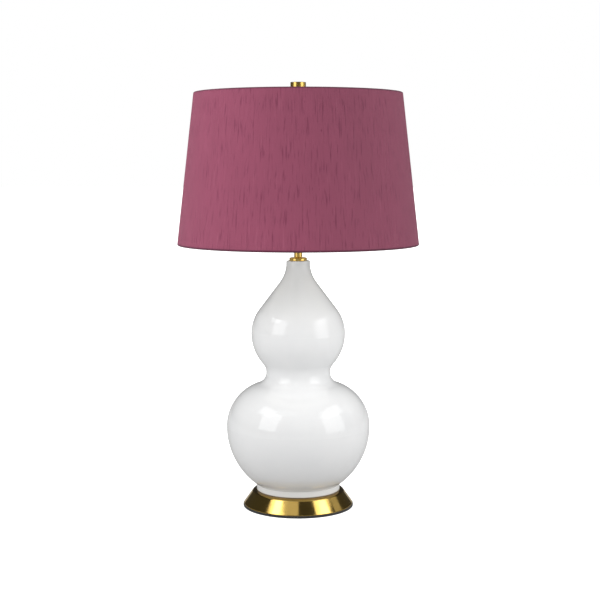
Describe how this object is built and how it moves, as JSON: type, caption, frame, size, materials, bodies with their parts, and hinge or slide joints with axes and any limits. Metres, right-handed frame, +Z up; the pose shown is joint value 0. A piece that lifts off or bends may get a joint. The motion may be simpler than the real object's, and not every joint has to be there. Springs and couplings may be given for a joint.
{
  "type": "double gourd table lamp",
  "caption": "Table lamp with a glazed double gourd body on a flared brass plinth, a tapered drum shade on a harp, a screw-in bulb and a turn switch.",
  "frame": {"origin": "on the lamp's axis at the underside of the base pad", "axes": "+Z up along the lamp's axis; -Y is the front, where the switch key points; +Y is the back, where the cord's bushing is; the harp lies in the XZ plane"},
  "size_m": [0.4, 0.4, 0.7065],
  "materials": {
    "black_felt": "matte",
    "polished_brass": "polished",
    "plated_brass": "satin",
    "black_plastic": "satin",
    "zinc_steel": "satin",
    "clear_rubber": "satin",
    "white_glaze": "gloss",
    "fibre_board": "matte",
    "bare_aluminium": "satin",
    "frosted_glass": "satin",
    "clear_glass": "gloss",
    "white_wire": "satin",
    "white_liner": "matte",
    "mulberry_cloth": "satin"
  },
  "bodies": {
    "lamp": {"felt_pad": "black_felt", "plinth": "polished_brass", "cord_bushing": "black_plastic", "clamp_plate": "zinc_steel", "lock_washer": "zinc_steel", "clamp_nut": "zinc_steel", "lamp_rod": "zinc_steel", "foot_gasket": "clear_rubber", "ceramic_body": "white_glaze", "neck_bush": "black_plastic", "vase_cap": "polished_brass", "neck_tube": "polished_brass", "harp_saddle": "plated_brass", "saddle_washer": "plated_brass", "holder_cap": "plated_brass", "holder_set_screw": "zinc_steel", "holder_shell": "plated_brass", "holder_liner": "fibre_board", "holder_core": "black_plastic", "terminal_screws": "plated_brass", "screw_shell": "bare_aluminium", "centre_contact": "plated_brass"},
    "switch": {"switch_spindle": "zinc_steel", "switch_knob": "black_plastic"},
    "bulb": {"bulb_tip": "zinc_steel", "bulb_insulator": "black_plastic", "bulb_cap": "bare_aluminium", "bulb_glass": "frosted_glass", "bulb_stem": "clear_glass", "bulb_leads": "zinc_steel", "bulb_filament": "zinc_steel"},
    "harp": {"harp_wire": "plated_brass", "harp_stud": "plated_brass"},
    "left_ferrule": {"ferrule_left": "plated_brass"},
    "right_ferrule": {"ferrule_right": "plated_brass"},
    "shade": {"bottom_ring": "white_wire", "top_ring": "white_wire", "spider_hub": "white_wire", "spider_arms": "white_wire", "shade_liner": "white_liner", "shade_cloth": "mulberry_cloth"},
    "finial_nut": {"finial": "polished_brass"}
  },
  "joints": [
    {"name": "switch_turn", "type": "hinge", "parent": "lamp", "child": "switch", "pos_m": [0, -0.0254, 0.46383], "axis": [0, -1, 0], "continuous": true},
    {"name": "bulb_turn", "type": "hinge", "parent": "lamp", "child": "bulb", "pos_m": [0, 0, 0.49], "axis": [0, 0, 1], "range_deg": [0, 1620]},
    {"name": "harp_lift", "type": "slide", "parent": "lamp", "child": "harp", "axis": [0, 0, 1], "range_m": [0, 0.03]},
    {"name": "ferrule_left_slide", "type": "slide", "parent": "harp", "child": "left_ferrule", "axis": [0, 0, 1], "range_m": [0, 0.016]},
    {"name": "ferrule_right_slide", "type": "slide", "parent": "harp", "child": "right_ferrule", "axis": [0, 0, 1], "range_m": [0, 0.016]},
    {"name": "shade_lift", "type": "slide", "parent": "harp", "child": "shade", "axis": [0, 0, 1], "range_m": [0, 0.27]},
    {"name": "finial_turn", "type": "hinge", "parent": "shade", "child": "finial_nut", "pos_m": [0, 0, 0.69], "axis": [0, 0, 1], "range_deg": [0, 3600]}
  ]
}
